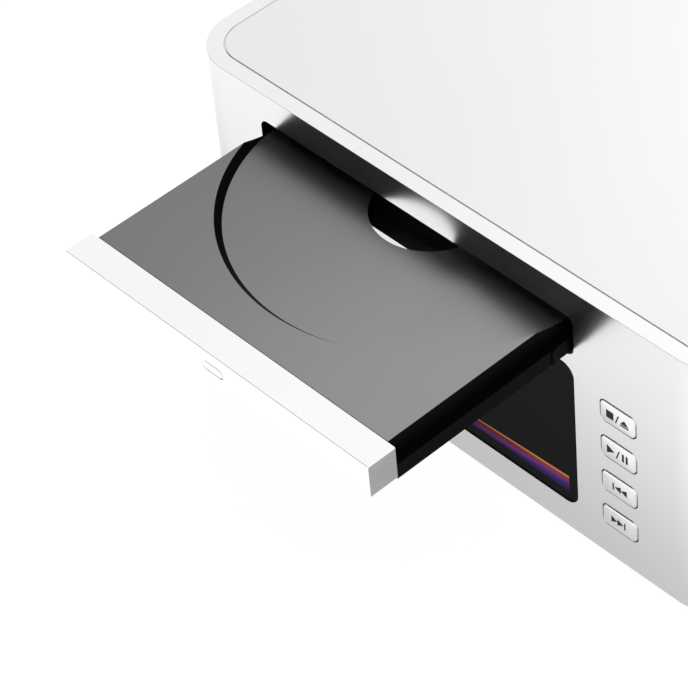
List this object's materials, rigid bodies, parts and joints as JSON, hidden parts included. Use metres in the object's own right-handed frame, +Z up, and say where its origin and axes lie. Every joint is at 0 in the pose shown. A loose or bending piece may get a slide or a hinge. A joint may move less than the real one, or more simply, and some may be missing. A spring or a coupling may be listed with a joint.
{
  "type": "tray-loading disc player",
  "caption": "Compact desktop disc player with a motor-driven disc tray, front colour display, four push buttons and rear sockets.",
  "frame": {"origin": "centre of the assembly's bounding box in plan with the tray standing half out, on the plane under the foot pads", "axes": "+Z up, +Y from the front face towards the rear sockets, +X to the right as seen from the front"},
  "size_m": [0.216, 0.3032, 0.102],
  "materials": {
    "anodised_housing": "bead-blasted, silver anodised",
    "anodised_top": "fine satin, silver anodised",
    "anodised_bezel": "fine satin, silver anodised",
    "anodised_button": "fine satin, silver anodised",
    "turned_aluminium": "turned, anodised",
    "painted_steel": "black fine-texture powder coat",
    "screw_steel": "black-nickel plated",
    "rubber": "matt",
    "display_glass": "black-backed cover glass",
    "display_panel": "display panel in a tray",
    "black_plastic": "moulded, lightly textured",
    "green_board": "solder mask over glass fibre",
    "blue_board": "solder mask over glass fibre",
    "switch_metal": "pressed steel",
    "loader_plastic": "moulded, glass-filled",
    "zinc_steel": "zinc-plated sheet",
    "tray_plastic": "satin, moulded",
    "motor_can": "drawn can",
    "brass": "turned",
    "gear_nylon": "moulded acetal",
    "die_cast": "zinc die casting",
    "lens_holder": "moulded",
    "polished_steel": "ground",
    "ribbon": "laminated film"
  },
  "bodies": {
    "housing": {"housing_shell": "anodised_housing", "top_panel": "anodised_top", "base_plate": "painted_steel", "rear_panel": "painted_steel", "foot_front_left": "turned_aluminium", "foot_front_right": "turned_aluminium", "foot_rear_left": "turned_aluminium", "foot_rear_right": "turned_aluminium", "foot_pads": "rubber", "base_screws": "screw_steel", "foot_screws": "screw_steel", "rear_panel_screws": "screw_steel", "display_window": "display_glass", "display_module": "display_panel", "display_frame": "black_plastic", "front_screws": "screw_steel", "control_board": "green_board", "tact_switches": "switch_metal", "loader_chassis": "loader_plastic", "loader_bracket_left": "zinc_steel", "loader_bracket_right": "zinc_steel", "bracket_screws": "screw_steel", "loading_motor": "motor_can", "loading_belt": "rubber", "loader_board": "green_board", "clamp_bridge": "zinc_steel", "bridge_screws": "screw_steel", "main_board": "green_board", "output_board": "blue_board", "power_board": "green_board", "board_standoffs": "brass", "board_screws": "screw_steel", "display_ribbon": "ribbon", "audio_jacks": "brass", "digital_jacks": "black_plastic", "power_inlet": "black_plastic", "power_switch": "black_plastic"},
    "tray": {"tray": "tray_plastic", "tray_bezel": "anodised_bezel", "bezel_screws": "screw_steel"},
    "motor_pulley": {"motor_pulley": "brass"},
    "pulley_gear": {"pulley_gear": "gear_nylon"},
    "drive_gear": {"drive_gear": "gear_nylon"},
    "cam_slider": {"cam_slider": "gear_nylon"},
    "traverse": {"traverse_frame": "loader_plastic", "traverse_dampers": "rubber", "spindle_motor": "motor_can", "guide_rods": "polished_steel", "sled_motor": "motor_can"},
    "turntable": {"turntable": "black_plastic"},
    "pickup": {"optical_pickup": "die_cast", "pickup_lens": "lens_holder"},
    "lead_screw": {"lead_screw": "polished_steel"},
    "clamp_puck": {"clamp_puck": "black_plastic"},
    "stop_eject_button": {"stop_eject_button": "anodised_button"},
    "play_pause_button": {"play_pause_button": "anodised_button"},
    "previous_button": {"previous_button": "anodised_button"},
    "next_button": {"next_button": "anodised_button"},
    "power_rocker": {"power_rocker": "black_plastic"}
  },
  "joints": [
    {"name": "tray_slide", "type": "slide", "parent": "housing", "child": "tray", "axis": [0, -1, 0], "range_m": [-0.0758, 0.064]},
    {"name": "drive_gear_spin", "type": "hinge", "parent": "housing", "child": "drive_gear", "pos_m": [0.022, -0.04585, 0.076], "axis": [0, 0, 1], "continuous": true},
    {"name": "pulley_gear_spin", "type": "hinge", "parent": "housing", "child": "pulley_gear", "pos_m": [-0.002, -0.04585, 0.076], "axis": [0, 0, 1], "continuous": true},
    {"name": "motor_pulley_spin", "type": "hinge", "parent": "housing", "child": "motor_pulley", "pos_m": [-0.041, -0.04585, 0.0808], "axis": [0, 0, 1], "continuous": true},
    {"name": "cam_slide", "type": "slide", "parent": "housing", "child": "cam_slider", "axis": [1, 0, 0], "range_m": [0, 0.016]},
    {"name": "traverse_lift", "type": "slide", "parent": "housing", "child": "traverse", "axis": [0, 0, 1], "range_m": [0, 0.005]},
    {"name": "turntable_spin", "type": "hinge", "parent": "traverse", "child": "turntable", "pos_m": [-0.011, 0.00875, 0.082], "axis": [0, 0, 1], "continuous": true},
    {"name": "pickup_slide", "type": "slide", "parent": "traverse", "child": "pickup", "axis": [0, 1, 0], "range_m": [-0.002, 0.03]},
    {"name": "lead_screw_spin", "type": "hinge", "parent": "traverse", "child": "lead_screw", "pos_m": [-0.042, 0.02215, 0.0765], "axis": [0, 1, 0], "continuous": true},
    {"name": "clamp_puck_spin", "type": "hinge", "parent": "housing", "child": "clamp_puck", "pos_m": [-0.011, 0.00875, 0.094], "axis": [0, 0, 1], "continuous": true},
    {"name": "stop_eject_press", "type": "slide", "parent": "housing", "child": "stop_eject_button", "axis": [0, 1, 0], "range_m": [0, 0.0007], "stiffness_N_per_m": 300},
    {"name": "play_pause_press", "type": "slide", "parent": "housing", "child": "play_pause_button", "axis": [0, 1, 0], "range_m": [0, 0.0007], "stiffness_N_per_m": 300},
    {"name": "previous_press", "type": "slide", "parent": "housing", "child": "previous_button", "axis": [0, 1, 0], "range_m": [0, 0.0007], "stiffness_N_per_m": 300},
    {"name": "next_press", "type": "slide", "parent": "housing", "child": "next_button", "axis": [0, 1, 0], "range_m": [0, 0.0007], "stiffness_N_per_m": 300},
    {"name": "power_rocker_tilt", "type": "hinge", "parent": "housing", "child": "power_rocker", "pos_m": [0.039, 0.13965, 0.04], "axis": [1, 0, 0], "range_deg": [-16, 0]}
  ],
  "couplings": [
    {"joint": "drive_gear_spin", "follows": "tray_slide", "rad_per_m": -90.909},
    {"joint": "pulley_gear_spin", "follows": "tray_slide", "rad_per_m": 272.73},
    {"joint": "motor_pulley_spin", "follows": "tray_slide", "rad_per_m": 1272.7},
    {"joint": "traverse_lift", "follows": "cam_slide", "ratio": 0.3125},
    {"joint": "lead_screw_spin", "follows": "pickup_slide", "rad_per_m": 2094.4}
  ]
}
